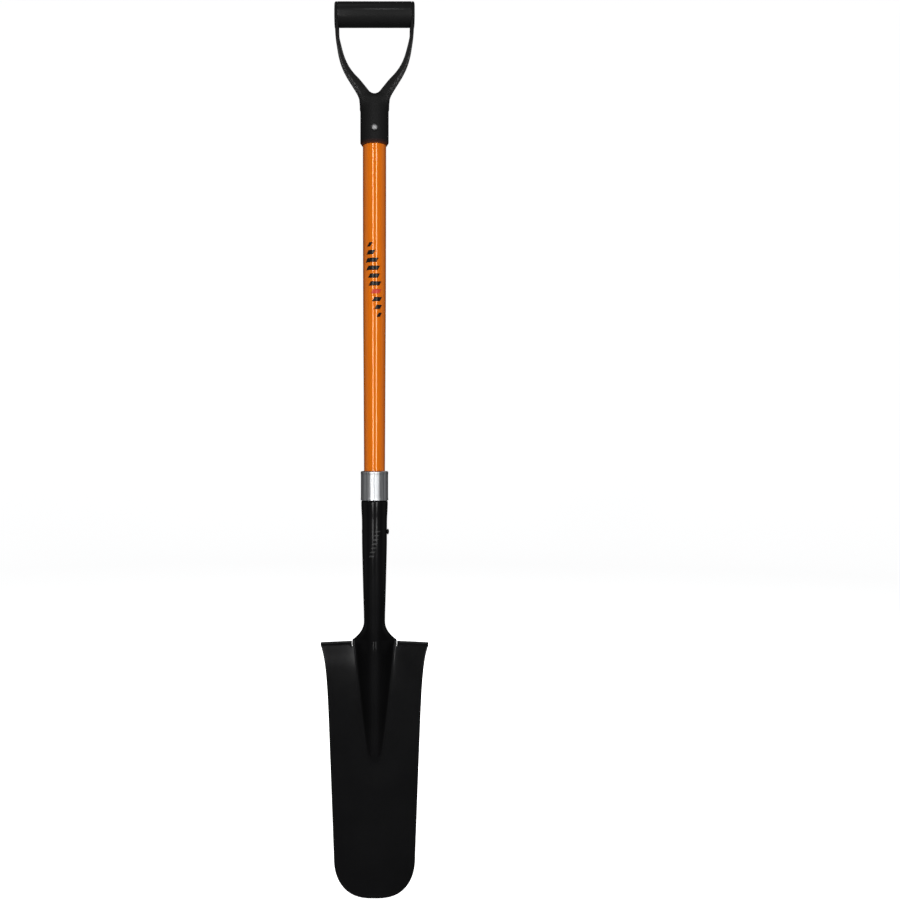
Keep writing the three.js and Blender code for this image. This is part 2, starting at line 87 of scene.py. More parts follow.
GAP = 0.3  # clearance between neighbouring pieces
BAR_RADIUS = SLEEVE_END.z
EAR_FACE = YOKE_HIGH.x
EAR_SEAM = SLEEVE_END.x + GAP
YOKE_RIM_Z = YOKE_LOW.z
GRIP_RIVET_Z = (GRIP_RIVET_LOW.z + GRIP_RIVET_HIGH.z) / 2
SOCKET_RIVET_Z = (SOCKET_RIVET_LOW.z + SOCKET_RIVET_HIGH.z) / 2
FLOOR_Z = cad_bounds[0].z

# ---- sizes of the shapes, in millimetres -------------------------------------------------

# Blade. Depths run down from the treads.
SHEET = 2.0
SHEET_EDGE_ROUNDING = 0.45
TREAD_Z = -859.5
BLADE_LENGTH = TREAD_Z - BLADE_TIP_Z
HALF_WIDTH = 65.7
SIDE_TAPER = 0.0395
FLARE = 7.8
FLARE_FADE = 24.0
TIP_ROUND = 60.0
TIP_CORNER = math.pi / 4
TIP_SQUARENESS = 2.3
PAN_BACK = 5.0
PAN_LIFT = 18.0
PAN_ROLL = 4.0
PAN_ROLL_FADE = 18.0
DISH_SLOPE = 0.285
DISH_FLOOR = 19.0
RIDGE_HEIGHT = 24.1
RIDGE_RUN = 190.0
RIDGE_LENGTH = 163.0
RIDGE_END_SLOPE = 0.45
RIDGE_END_BLEND = 1.5
RIDGE_SLOPE = 1.1
RIDGE_CREST = 12.0
RIDGE_FOOT_BLEND = 1.6
RIDGE_HALF_WIDTH = 30.2
RIDGE_TAPER = 0.108
RIDGE_COLUMN_SHARE = 0.27
STEP_BEND = 5.0
STEP_FLAT = 8.5
COLLAR_DEPTHS = [STEP_BEND - 2.5, 0.0, -1.8]
WING_FOOT_DEPTH = -3.7
WING_HEIGHT = 26.0
WING_CURVE = 2.1
WING_TOP_Z = TREAD_Z - WING_FOOT_DEPTH + WING_HEIGHT

# Socket and shaft. Profiles are (height, radius).
NECK_RADIUS = 14.5
SOCKET_SEAM = math.radians(176)
SOCKET_CLOSED_Z = -792.0
SOCKET_SWELL_Z = -690.0
SHOULDER_Z = -665.9
SHOULDER_DROP = 1.0
SOCKET_MOUTH_Z = -632.0
SOCKET_PROFILE = [
    (-818, 14.7),
    (-803, 15.15),
    (-787, 15.6),
    (-766, 16.1),
    (-746, 16.6),
    (-725, 17.05),
    (SOCKET_SWELL_Z, 17.3),
    (-678, 17.9),
    (SHOULDER_Z, 18.1),
    (SHOULDER_Z + SHOULDER_DROP, 17.0),
    (SOCKET_MOUTH_Z, 17.0),
]
SHAFT_PROFILE = [
    (-752, 13.8),
    (-615, 14.4),
    (-500, 15.0),
    (-390, 15.6),
    (-225, 15.95),
    (-124, 15.95),
]

# Grip.
ROD_BORE = 4.3
RIVET_SHANK = 3.0
RIVET_BORE = 3.3
YOKE_RADIUS = 19.4
YOKE_BORE = 16.3
YOKE_BORE_TOP_Z = -123.0
YOKE_CROWN_Z = -112.0
YOKE_CROWN_ROUNDING = 8.0
CHAMFER_WIDTH = 2.9
CHAMFER_HEIGHT = 4.3
RIVET_SEAT_Y = 18.3
FRONT_SEAT_RADIUS = 5.4
BACK_SEAT_RADIUS = 6.5
EAR_ROUNDING = 2.6
EAR_FILLET = 2.5
CROTCH_FILLET = 3.5
SOCKET_FILLET = 5.0
ARM_SQUARENESS = 0.6
ARM_FOOT_Z = -128.0
ARM_TOP_Z = -6.0
# Right arm: height, outer edge, inner edge, half depth.
ARM_PROFILE = [
    (-130, 17.6, -15.0, 12.0),
    (-122, 18.6, -6.0, 14.5),
    (-114, 21.2, 1.0, 15.6),
    (-107, 24.1, 6.8, 15.4),
    (-99, 28.9, 13.1, 14.4),
    (-91, 34.1, 19.5, 12.8),
    (-83, 39.0, 26.9, 11.5),
    (-75, 43.1, 32.9, 10.6),
    (-66, 46.6, 37.9, 10.2),
    (-56, 49.3, 41.7, 10.1),
    (-44, 51.4, 45.0, 10.4),
    (-32, 53.1, 47.7, 11.0),
    (-20, 53.9, 48.2, 11.8),
    (-8, 54.1, 48.5, 13.0),
    (4, 54.1, 48.5, 14.0),
]


# ---- mesh tools --------------------------------------------------------------------------

def mesh_object(name, points, faces):
    """A smooth-shaded object from points in millimetres, its faces turned outward."""
    mesh = bpy.data.meshes.new(name)
    mesh.from_pydata([Vector(p) * MM for p in points], [], faces)
    mesh.validate()
    obj = bpy.data.objects.new(name, mesh)
    bpy.context.scene.collection.objects.link(obj)
    welded = bmesh.new()
    welded.from_mesh(mesh)
    bmesh.ops.remove_doubles(welded, verts=welded.verts, dist=1e-7)
    bmesh.ops.recalc_face_normals(welded, faces=welded.faces)
    for face in welded.faces:
        face.smooth = True
    welded.to_mesh(mesh)
    welded.free()
    return obj


def bake_modifiers(obj):
    """Puts the result of an object's modifiers into its mesh."""
    graph = bpy.context.evaluated_depsgraph_get()
    mesh = bpy.data.meshes.new_from_object(obj.evaluated_get(graph))
    obj.modifiers.clear()
    obj.data = mesh
    for polygon in mesh.polygons:
        polygon.use_smooth = True


def keep_inside(obj, node):
    """Holds a mesh within the box of the CAD node it stands for."""
    low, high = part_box(node)
    for vertex in obj.data.vertices:
        vertex.co = Vector(min(max(value, a), b) for value, a, b in zip(vertex.co, low, high))


def rounded_outline(corners, steps=6):
    """[(radius, height, rounding), ...] to a smooth closed outline of (radius, height) points."""
    outline = []
    count = len(corners)
    for k, (radius, height, rounding) in enumerate(corners):
        here = Vector((radius, height))
        if rounding <= 0:
            outline.append(here)
            continue
        to_last = (Vector(corners[k - 1][:2]) - here).normalized()
        to_next = (Vector(corners[(k + 1) % count][:2]) - here).normalized()
        start, end = here + to_last * rounding, here + to_next * rounding
        for step in range(steps + 1):
            t = step / steps
            outline.append(start * (1 - t) ** 2 + here * 2 * t * (1 - t) + end * t * t)
    return outline


def turned(name, outline, axis="Z", centre=(0, 0, 0), segments=128):
    """A closed outline of (radius, height) points turned about an axis through the centre."""
    points = []
    faces = []
    for k in range(segments):
        angle = 2 * math.pi * k / segments
        for radius, height in outline:
            across, along = radius * math.cos(angle), radius * math.sin(angle)
            placed = {
                "Z": (across, along, height),
                "X": (height, across, along),
                "Y": (across, height, along),
            }[axis]
            points.append(Vector(placed) + Vector(centre))
    size = len(outline)
    for k in range(segments):
        for step in range(size):
            after = (step + 1) % size
            if outline[step][0] == 0 and outline[after][0] == 0:
                continue
            here, there = k * size, ((k + 1) % segments) * size
            faces.append((here + step, here + after, there + after, there + step))
    return mesh_object(name, points, faces)


def dome_points(radius, base, height, steps=10):
    """The outline of a domed rivet head on the flat at base, up to the axis."""
    outline = []
    for k in range(steps + 1):
        angle = QUARTER_TURN * k / steps
        rim = 0 if k == steps else radius * math.cos(angle)
        outline.append(Vector((rim, base + height * math.sin(angle))))
    return outline


def smooth_value(table, place):
    """A smooth curve through (place, value) pairs in rising order of place."""
    last = len(table) - 1
    k = max(0, min(last - 1, sum(1 for row in table if row[0] <= place) - 1))
    (x0, y0), (x1, y1) = table[k], table[k + 1]

    def slope(i):
        before, after = table[max(i - 1, 0)], table[min(i + 1, last)]
        return (after[1] - before[1]) / (after[0] - before[0])

    span = x1 - x0
    t = (place - x0) / span
    start = y0 * (1 + 2 * t) * (1 - t) ** 2 + slope(k) * span * t * (1 - t) ** 2
    end = y1 * t * t * (3 - 2 * t) + slope(k + 1) * span * t * t * (t - 1)
    return start + end


# ---- material tools ----------------------------------------------------------------------

# A Mix node has its colour inputs and its colour result at these places.
MIX_FIRST, MIX_SECOND, MIX_RESULT = 6, 7, 2


class Look:
    """A node material: one Principled shader, with small helpers for procedural detail."""

    def __init__(self, name, **values):
        self.material = bpy.data.materials.new(name)
        self.material.use_nodes = True
        self.nodes = self.material.node_tree.nodes
        self.links = self.material.node_tree.links
        self.shader = self.nodes["Principled BSDF"]
        for socket, value in values.items():
            self.shader.inputs[socket.replace("_", " ")].default_value = value
        self.place = self.nodes.new("ShaderNodeTexCoord").outputs["Object"]
        self.bumps = None

    def stretched(self, scale):
        mapping = self.nodes.new("ShaderNodeMapping")
        mapping.inputs["Scale"].default_value = scale
        self.links.new(self.place, mapping.inputs["Vector"])
        return mapping.outputs["Vector"]

    def noise(self, scale, detail=3.0, roughness=0.55, stretch=None):
        node = self.nodes.new("ShaderNodeTexNoise")
        node.inputs["Scale"].default_value = scale
        node.inputs["Detail"].default_value = detail
        node.inputs["Roughness"].default_value = roughness
        self.links.new(self.stretched(stretch) if stretch else self.place, node.inputs["Vector"])
        return node.outputs["Fac"]

    def cells(self, scale):
        node = self.nodes.new("ShaderNodeTexVoronoi")
        node.inputs["Scale"].default_value = scale
        self.links.new(self.place, node.inputs["Vector"])
        return node.outputs["Distance"]

    def ramp(self, source, *stops):
        """Colours by value: each stop is (place, colour)."""
        node = self.nodes.new("ShaderNodeValToRGB")
        ramp = node.color_ramp
        while len(ramp.elements) < len(stops):
            ramp.elements.new(0.5)
        for element, (place, colour) in zip(ramp.elements, stops):
            element.position = place
            element.color = (*colour, 1.0)
        self.links.new(source, node.inputs["Fac"])
        return node.outputs["Color"]

    def remap(self, source, low, high, to_low, to_high):
        node = self.nodes.new("ShaderNodeMapRange")
        ends = {"From Min": low, "From Max": high, "To Min": to_low, "To Max": to_high}
        for socket, value in ends.items():
            node.inputs[socket].default_value = value
        self.links.new(source, node.inputs["Value"])
        return node.outputs["Result"]

    def face_normal(self):
        return self.nodes.new("ShaderNodeNewGeometry").outputs["Normal"]

    def part_of(self, vector, axis):
        node = self.nodes.new("ShaderNodeSeparateXYZ")
        self.links.new(vector, node.inputs["Vector"])
        return node.outputs[axis]

    def size_of(self, vector, axis):
        """One part of a vector, without its sign."""
        node = self.nodes.new("ShaderNodeMath")
        node.operation = "ABSOLUTE"
        self.links.new(self.part_of(vector, axis), node.inputs[0])
        return node.outputs["Value"]

    def product(self, first, second):
        node = self.nodes.new("ShaderNodeMath")
        node.operation = "MULTIPLY"
        self.links.new(first, node.inputs[0])
        self.links.new(second, node.inputs[1])
        return node.outputs["Value"]

    def mixed(self, how, first):
        node = self.nodes.new("ShaderNodeMix")
        node.data_type = "RGBA"
        node.blend_type = how
        self.links.new(first, node.inputs[MIX_FIRST])
        return node

    def added(self, first, second):
        node = self.mixed("ADD", first)
        node.inputs["Factor"].default_value = 1.0
        self.links.new(second, node.inputs[MIX_SECOND])
        return node.outputs[MIX_RESULT]

    def shaded(self, first, amount, tone):
        """The first colour, multiplied by the tone as far as the amount goes."""
        node = self.mixed("MULTIPLY", first)
        self.links.new(amount, node.inputs["Factor"])
        node.inputs[MIX_SECOND].default_value = (*tone, 1.0)
        return node.outputs[MIX_RESULT]

    def drive(self, socket, source):
        self.links.new(source, self.shader.inputs[socket])

    def bump(self, source, distance, strength=1.0):
        """Adds relief on top of the bumps made before it."""
        node = self.nodes.new("ShaderNodeBump")
        node.inputs["Distance"].default_value = distance
        node.inputs["Strength"].default_value = strength
        self.links.new(source, node.inputs["Height"])
        if self.bumps:
            self.links.new(self.bumps, node.inputs["Normal"])
        self.bumps = node.outputs["Normal"]
        self.links.new(self.bumps, self.shader.inputs["Normal"])


def grey(value):
    return (value, value, value)


def blade_paint():
    """Satin black paint, duller round the shoulders where it lies thin on the pressed bends."""
    look = Look("blade_paint")
    height = look.part_of(look.place, "Z")
    above_pan = look.remap(height, -0.91, -0.872, 0.0, 1.0)
    below_neck = look.remap(height, -0.85, -0.838, 1.0, 0.0)
    thin = look.product(above_pan, below_neck)
    look.drive("Specular IOR Level", look.remap(thin, 0.0, 1.0, 0.16, 0.06))
    cloud = look.noise(14.0, 4.0)
    # Painted shade: the base colour is darkened to half on faces that turn sideways.
    side_shade = look.remap(look.size_of(look.face_normal(), "X"), 0.32, 0.62, 0.0, 1.0)
    plain = look.ramp(cloud, (0.3, (0.0046, 0.0046, 0.0049)), (0.75, (0.0064, 0.0064, 0.0067)))
    look.drive("Base Color", look.shaded(plain, side_shade, grey(0.5)))
    look.drive("Roughness", look.remap(look.noise(55.0, 5.0, 0.6), 0.25, 0.75, 0.14, 0.2))
    look.bump(look.noise(620.0, 2.0), 0.00004, 0.6)
    look.bump(look.noise(26.0, 2.0, stretch=(1.0, 1.0, 0.35)), 0.0005, 0.35)
    return look.material


def yoke_polymer():
    """Grained black moulding; its arms' outward faces are lightened with speckled scuffs that are partly
    wear and partly painted highlight, and its lip has a dark orange painted reflection of the shaft.
    """
    look = Look("yoke_polymer", Specular_IOR_Level=0.05)
    height = look.part_of(look.place, "Z")
    # Painted highlight: faces of the arms that turn outward are lightened with speckle, standing in for
    # the light they catch as well as for scuffs.
    outward = look.remap(look.size_of(look.face_normal(), "X"), 0.25, 0.7, 0.0, 1.0)
    below_bar = look.remap(height, -0.05, -0.022, 1.0, 0.0)
    above_socket = look.remap(height, -0.128, -0.1, 0.0, 1.0)
    speckle = look.remap(look.noise(620.0, 4.0, 0.7), 0.42, 0.64, 0.0, 1.0)
    scuffs_and_side_light = look.product(look.product(outward, speckle), look.product(below_bar, above_socket))
    plain = look.ramp(scuffs_and_side_light, (0.0, grey(0.009)), (0.3, grey(0.035)), (1.0, grey(0.17)))
    # Painted reflection: the lip's chamfer is tinted dark orange, standing in for the orange shaft
    # mirrored in it.
    lip = look.remap(height, -0.1805, -0.1738, 1.0, 0.0)
    painted_reflection = look.ramp(
        lip,
        (0.0, grey(0.0)),
        (0.35, (0.011, 0.002, 0.001)),
        (0.62, (0.03, 0.006, 0.001)),
        (0.85, (0.08, 0.016, 0.001)),
    )
    look.drive("Base Color", look.added(plain, painted_reflection))
    look.drive("Roughness", look.remap(look.noise(300.0, 3.0), 0.3, 0.7, 0.46, 0.62))
    look.bump(look.cells(620.0), 0.0003, 0.8)
    look.bump(look.noise(1500.0, 2.0), 0.00008, 0.6)
    return look.material


def sleeve_polymer():
    """Smooth black moulding under the thin shine that hands leave on it."""
    shine = {"Coat_Weight": 0.2, "Coat_Roughness": 0.15, "Coat_IOR": 1.5}
    look = Look("sleeve_polymer", Specular_IOR_Level=0.045, **shine)
    cloud = look.noise(40.0, 4.0)
    look.drive("Base Color", look.ramp(cloud, (0.3, grey(0.0088)), (0.75, grey(0.0105))))
    look.drive("Roughness", look.remap(look.noise(90.0, 4.0), 0.3, 0.7, 0.36, 0.46))
    look.bump(look.noise(1700.0, 2.0), 0.00005, 0.5)
    look.bump(look.noise(60.0, 2.0), 0.0002, 0.3)
    return look.material


def shaft_gloss():
    """Glossy orange fibreglass: an amber-tinted surface shine under a thin clear coat."""
    look = Look("shaft_gloss", Coat_Weight=0.45, Coat_Roughness=0.04, Coat_IOR=1.5, Specular_IOR_Level=0.5)
    look.shader.inputs["Specular Tint"].default_value = (1.0, 0.52, 0.16, 1.0)
    fibres = look.noise(1.0, 4.0, 0.6, stretch=(900.0, 900.0, 7.0))
    tint = look.ramp(
        fibres,
        (0.25, (0.54, 0.114, 0.0035)),
        (0.5, (0.6, 0.132, 0.0045)),
        (0.8, (0.65, 0.15, 0.006)),
    )
    look.drive("Base Color", tint)
    streaks = look.noise(1.0, 3.0, stretch=(500.0, 500.0, 2.0))
    look.drive("Roughness", look.remap(streaks, 0.3, 0.7, 0.08, 0.11))
    look.bump(look.noise(1.0, 2.0, stretch=(160.0, 160.0, 0.5)), 0.000004, 0.1)
    return look.material


def ferrule_steel():
    """Drawn bright steel with lengthwise streaks."""
    look = Look("ferrule_steel", Metallic=1.0)
    streaks = look.noise(1.0, 5.0, 0.7, stretch=(520.0, 520.0, 3.0))
    tone = look.ramp(
        streaks,
        (0.36, (0.27, 0.28, 0.29)),
        (0.5, (0.54, 0.55, 0.56)),
        (0.64, (0.76, 0.77, 0.78)),
    )
    look.drive("Base Color", tone)
    scratches = look.noise(1.0, 4.0, stretch=(800.0, 800.0, 16.0))
    look.drive("Roughness", look.remap(scratches, 0.3, 0.7, 0.36, 0.52))
    look.bump(look.noise(1.0, 4.0, 0.6, stretch=(420.0, 420.0, 1.5)), 0.00022, 0.5)
    look.bump(look.noise(180.0, 3.0), 0.00003, 0.3)
    return look.material


def rivet_steel():
    """Plated steel, dulled by handling."""
    look = Look("rivet_steel", Metallic=1.0)
    look.drive("Base Color", look.ramp(look.noise(420.0, 3.0), (0.3, grey(0.17)), (0.7, grey(0.25))))
    look.drive("Roughness", look.remap(look.noise(700.0, 3.0), 0.3, 0.7, 0.42, 0.52))
    look.bump(look.noise(900.0, 2.0), 0.00006, 0.5)
    return look.material


def plug_wood():
    """Plain hardwood with its grain along the shaft."""
    look = Look("plug_wood", Roughness=0.75)
    rings = look.noise(1.0, 5.0, 0.6, stretch=(320.0, 320.0, 12.0))
    look.drive("Base Color", look.ramp(rings, (0.3, (0.28, 0.16, 0.07)), (0.7, (0.52, 0.34, 0.17))))
    look.bump(rings, 0.0002, 0.5)
    return look.material


def rubbed_paint_and_highlight():
    """The black paint where it stands proud, rubbed to a dull grey that is also a painted highlight where
    the raised marks catch the light.
    """
    look = Look("rubbed_paint_and_highlight", Specular_IOR_Level=0.3)
    # Painted highlight: the lighter grey stands in for light caught on the raised ticks, as well as for
    # rubbed paint.
    wear_and_highlight = look.noise(480.0, 4.0, 0.6)
    look.drive("Base Color", look.ramp(wear_and_highlight, (0.35, grey(0.012)), (0.65, grey(0.034))))
    look.drive("Roughness", look.remap(look.noise(200.0, 3.0), 0.3, 0.7, 0.3, 0.42))
    look.bump(look.noise(900.0, 2.0), 0.00004, 0.4)
    return look.material


def printed_ink(name, dark, light):
    look = Look(name, Roughness=0.22, Specular_IOR_Level=0.16)
    look.drive("Base Color", look.ramp(look.noise(500.0, 4.0, 0.65), (0.25, dark), (0.7, light)))
    look.bump(look.noise(900.0, 2.0), 0.00003, 0.4)
    return look.material


MATERIALS = {
    "blade_paint": blade_paint(),
    "yoke_polymer": yoke_polymer(),
    "sleeve_polymer": sleeve_polymer(),
    "shaft_gloss": shaft_gloss(),
    "ferrule_steel": ferrule_steel(),
    "rivet_steel": rivet_steel(),
    "plug_wood": plug_wood(),
    "rubbed_paint_and_highlight": rubbed_paint_and_highlight(),
    "ink_black": printed_ink("ink_black", (0.006, 0.005, 0.005), (0.014, 0.011, 0.01)),
    "ink_red": printed_ink("ink_red", (0.4, 0.03, 0.02), (0.58, 0.06, 0.035)),
}


def finish_piece(obj, material, slot, *replaced):
    """Gives a new piece its material and ties it to the frame; its slot is not used."""
    obj.data.materials.clear()
    obj.data.materials.append(MATERIALS[material])
    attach(obj, "root")
    if replaced:
        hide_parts(*replaced)


# ---- blade -------------------------------------------------------------------------------

def blade_half_width(depth):
    return HALF_WIDTH - SIDE_TAPER * depth + FLARE * math.exp(-depth / FLARE_FADE)


def soft_min(a, b, blend):
    """The smaller of two values, with the corner between them rounded."""
    return (a + b - math.hypot(a - b, blend)) / 2


def pan_y(x, depth):
    lengthwise = PAN_ROLL * math.exp(-depth / PAN_ROLL_FADE) - PAN_LIFT * depth / BLADE_LENGTH
    return PAN_BACK + lengthwise - DISH_SLOPE * (math.hypot(x, DISH_FLOOR) - DISH_FLOOR)


def front_y(x, depth):
    """The front of the blade: the dished pan, with the ridge rising out of it."""
    crest = RIDGE_HEIGHT * (1 - depth / RIDGE_RUN)
    height = soft_min(crest, RIDGE_END_SLOPE * (RIDGE_LENGTH - depth), RIDGE_END_BLEND)
    pan = pan_y(x, depth)
    flank = math.hypot(RIDGE_SLOPE * x, RIDGE_CREST) - RIDGE_CREST
    ridge = pan_y(0, depth) - height + flank
    return soft_min(pan, ridge, RIDGE_FOOT_BLEND)


def blade_point(x, depth):
    return Vector((x, front_y(x, depth), TREAD_Z - depth))


MIDDLE_COLUMNS = [k / 24 - 1 for k in range(49)]
SIDE_SHARES = [0.02, 0.12, 0.23, 0.33, 0.43, 0.53, 0.63, 0.73, 0.82, 0.9, 0.96, 1.0]


def column_places(depth):
    edge = blade_half_width(depth)
    ridge = RIDGE_HALF_WIDTH - RIDGE_TAPER * max(depth, 0)
    middle = max(ridge, RIDGE_COLUMN_SHARE * edge)
    inner = [middle * math.sin(QUARTER_TURN * u) for u in MIDDLE_COLUMNS]
    right = [middle + (edge - middle) * share for share in SIDE_SHARES]
    return [-x for x in reversed(right)] + inner + right


def tip_row(progress):
    """Straight across where the rounded end starts, the cutting edge at its end."""
    start = BLADE_LENGTH - TIP_ROUND
    edge = blade_half_width(start)
    side = TIP_CORNER * progress
    side_depth = start + TIP_ROUND * math.sin(side)
    bulge = start + TIP_ROUND * progress - side_depth
    row = []
    for x in column_places(start):
        share = x / edge
        bent = math.sin(TIP_CORNER * share) / math.sin(TIP_CORNER)
        across = share + (bent - share) * progress
        crown = (math.cos(TIP_CORNER * share) - math.cos(TIP_CORNER)) / (1 - math.cos(TIP_CORNER))
        right, down = math.cos(side) * across, (side_depth + bulge * crown - start) / TIP_ROUND
        norm = (abs(right) ** TIP_SQUARENESS + abs(down) ** TIP_SQUARENESS) ** (1 / TIP_SQUARENESS)
        squared = math.hypot(right, down) / norm if norm > 0 else 1
        row.append(blade_point(edge * right * squared, start + TIP_ROUND * down * squared))
    return row


def ridge_row(depth):
    """The ridge at its full width, where it stands above the steps."""
    return [blade_point(RIDGE_HALF_WIDTH * math.sin(QUARTER_TURN * u), depth) for u in MIDDLE_COLUMNS]


def wing_row(rise):
    """The ridge's section closing to a half circle, beside the foot of the socket."""
    closing = 1 - (1 - rise) ** WING_CURVE
    height = TREAD_Z - WING_FOOT_DEPTH + WING_HEIGHT * rise
    row = []
    for u, flared in zip(MIDDLE_COLUMNS, ridge_row(WING_FOOT_DEPTH)):
        angle = QUARTER_TURN * u
        closed = Vector((NECK_RADIUS * math.sin(angle), -NECK_RADIUS * math.cos(angle), 0))
        point = flared.lerp(closed, closing)
        row.append(Vector((point.x, point.y, height)))
    return row


def socket_row(height):
    """The sheet rolled from a half circle towards a nearly closed tube."""
    radius = smooth_value([(WING_TOP_Z, NECK_RADIUS), *SOCKET_PROFILE], height)
    rolled = min(1.0, (height - WING_TOP_Z) / (SOCKET_CLOSED_Z - WING_TOP_Z))
    eased = rolled * rolled * (3 - 2 * rolled)
    wrap = QUARTER_TURN + (SOCKET_SEAM - QUARTER_TURN) * eased
    angles = [wrap * u for u in MIDDLE_COLUMNS]
    return [Vector((radius * math.sin(a), -radius * math.cos(a), height)) for a in angles]


def step_row(base, back, rise):
    """The pan's top edge turned back and up to make the step."""
    spread = blade_half_width(STEP_BEND - rise) / blade_half_width(STEP_BEND)
    return [Vector((p.x * spread, p.y + back, p.z + rise)) for p in base]


def spaced(start, end, count):
    """Count values from just after start up to end."""
    return [start + (end - start) * (k + 1) / count for k in range(count)]


def pan_depths():
    """Depths of the rows from the rounded end up to the steps, closest along the ridge."""
    pan_end = BLADE_LENGTH - TIP_ROUND
    ridge_end = RIDGE_LENGTH + 10
    ridge_foot, ridge_top = 140, 14
    depths = [pan_end] + spaced(pan_end, ridge_end, 14) + spaced(ridge_end, ridge_foot, 18)
    return depths + spaced(ridge_foot, ridge_top, 34) + spaced(ridge_top, STEP_BEND, 3)


def socket_heights():
    """Heights of the socket's rows, closest at the swell and the shoulder under the ferrule."""
    swell_end = SHOULDER_Z - 1.7
    shoulder = [SHOULDER_Z + rise for rise in (-0.5, 0.0, 0.5, SHOULDER_DROP)]
    mouth = [-660.0, -650.0, SOCKET_MOUTH_Z]
    taper = spaced(WING_TOP_Z, SOCKET_SWELL_Z, 40)
    swell = spaced(SOCKET_SWELL_Z, swell_end, 8)
    return taper + swell + shoulder + mouth


def make_blade():
    """Pan, steps, ridge and socket as one sheet, which is then given its thickness."""
    points = []
    faces = []

    def add_row(row):
        points.extend(row)
        return list(range(len(points) - len(row), len(points)))

    def add_strips(rows):
        for lower, upper in zip(rows, rows[1:]):
            for k in range(len(lower) - 1):
                faces.append((lower[k], lower[k + 1], upper[k + 1], upper[k]))

    tip_rows = [tip_row(progress) for progress in [1.0] + spaced(1.0, 0.06, 15)]
    pan_rows = [[blade_point(x, depth) for x in column_places(depth)] for depth in pan_depths()]
    blade_rows = [add_row(row) for row in tip_rows + pan_rows]
    add_strips(blade_rows)

    top_row = blade_rows[-1]
    sides = len(SIDE_SHARES)
    collar_rows = [ridge_row(depth) for depth in COLLAR_DEPTHS]
    wing_rows = [wing_row(rise) for rise in [0.0] + spaced(0.0, 1.0, 14)]
    socket_rows = [socket_row(height) for height in socket_heights()]
    middle = [add_row(row) for row in collar_rows + wing_rows + socket_rows]
    add_strips([top_row[sides:-sides], *middle])

    for base in (top_row[:sides], top_row[-sides:]):
        edge = [points[k] for k in base]
        rows = [base]
        for angle in spaced(0.0, QUARTER_TURN, 6):
            back, rise = STEP_BEND * (1 - math.cos(angle)), STEP_BEND * math.sin(angle)
            rows.append(add_row(step_row(edge, back, rise)))
        for back in spaced(STEP_BEND, STEP_BEND + STEP_FLAT, 4):
            rows.append(add_row(step_row(edge, back, STEP_BEND)))
        add_strips(rows)

    blade = mesh_object("blade", points, faces)
    faces_front = blade.data.polygons[0].normal.y < 0
    thicken = blade.modifiers.new("sheet", "SOLIDIFY")
    thicken.thickness = SHEET * MM
    thicken.offset = -1.0 if faces_front else 1.0
    thicken.use_even_offset = True
    soften = blade.modifiers.new("edges", "BEVEL")
    soften.width = SHEET_EDGE_ROUNDING * MM
    soften.segments = 3
    soften.limit_method = "ANGLE"
    soften.angle_limit = math.radians(55)
    bake_modifiers(blade)
    keep_inside(blade, "blade_with_socket")
    finish_piece(blade, "blade_paint", "blade_paint", "blade_with_socket")


# ---- turned pieces -----------------------------------------------------------------------

def make_shaft():
    bore = 9.5
    steps = 30
    low, high = SHAFT_LOW.z, SHAFT_HIGH.z
    outline = [Vector((bore, high)), Vector((bore, low))]
    for k in range(steps + 1):
        height = low + (high - low) * k / steps
        outline.append(Vector((smooth_value(SHAFT_PROFILE, height), height)))
    shaft = turned("shaft_tube", outline, segments=256)
    finish_piece(shaft, "shaft_gloss", "shaft_gloss", "shaft")


def make_ferrule():
    """A collar with a low bead at each end, turned in over the socket's mouth at its top."""
    low, high = FERRULE_LOW.z, FERRULE_HIGH.z
    radius = FERRULE_HIGH.x
    wall = 1.4
    lip = 14.8
    waist = radius - 0.22
    lower_bead, upper_bead = 2.6, 3.4
    ramp = 1.0
    corners = [
        (radius - wall, low, 0.3),
        (radius, low, 0.7),
        (radius, low + lower_bead, 0.6),
        (waist, low + lower_bead + ramp, 0.6),
        (waist, high - upper_bead - ramp, 0.8),
        (radius, high - upper_bead, 0.6),
        (radius, high, 2.4),
        (lip, high, 0.5),
        (lip, high - wall, 0.4),
        (radius - wall, high - wall, 0.8),
    ]
    ferrule = turned("ferrule_collar", rounded_outline(corners), segments=160)
    finish_piece(ferrule, "ferrule_steel", "ferrule_steel", "ferrule")


def make_sleeve():
    half = SLEEVE_END.x
    inner, outer = 0.3, 0.9
    corners = [
        (ROD_BORE, -half, inner),
        (BAR_RADIUS, -half, outer),
        (BAR_RADIUS, half, outer),
        (ROD_BORE, half, inner),
    ]
    sleeve = turned("crossbar_sleeve", rounded_outline(corners), "X")
    finish_piece(sleeve, "sleeve_polymer", "sleeve_polymer", "grip_sleeve")


def make_rod():
    half, radius = ROD_END.x, ROD_END.z
    rounding = 1.2
    corners = [(0, -half, 0), (radius, -half, rounding), (radius, half, rounding), (0, half, 0)]
    rod = turned("crossbar_rod", rounded_outline(corners), "X", segments=64)
    finish_piece(rod, "rivet_steel", "rivet_steel", "grip_rod")


def make_grip_rivet():
    """A domed head at the front of the yoke and a smaller peened tail at its back."""
    head_radius, head_height = GRIP_RIVET_HIGH.x, 2.3
    tail_radius, tail_height = 3.9, 1.4
    head_base = GRIP_RIVET_LOW.y + head_height
    tail_base = GRIP_RIVET_HIGH.y - tail_height
    tail = dome_points(tail_radius, tail_base, tail_height)
    backwards = reversed(dome_points(head_radius, head_base, head_height))
    head = [Vector((p.x, 2 * head_base - p.y)) for p in backwards]
    shank = [Vector((RIVET_SHANK, head_base)), Vector((RIVET_SHANK, tail_base))]
    rivet = turned("grip_rivet_body", head + shank + tail, "Y", (0, 0, GRIP_RIVET_Z), segments=64)
    finish_piece(rivet, "rivet_steel", "rivet_steel", "grip_rivet")


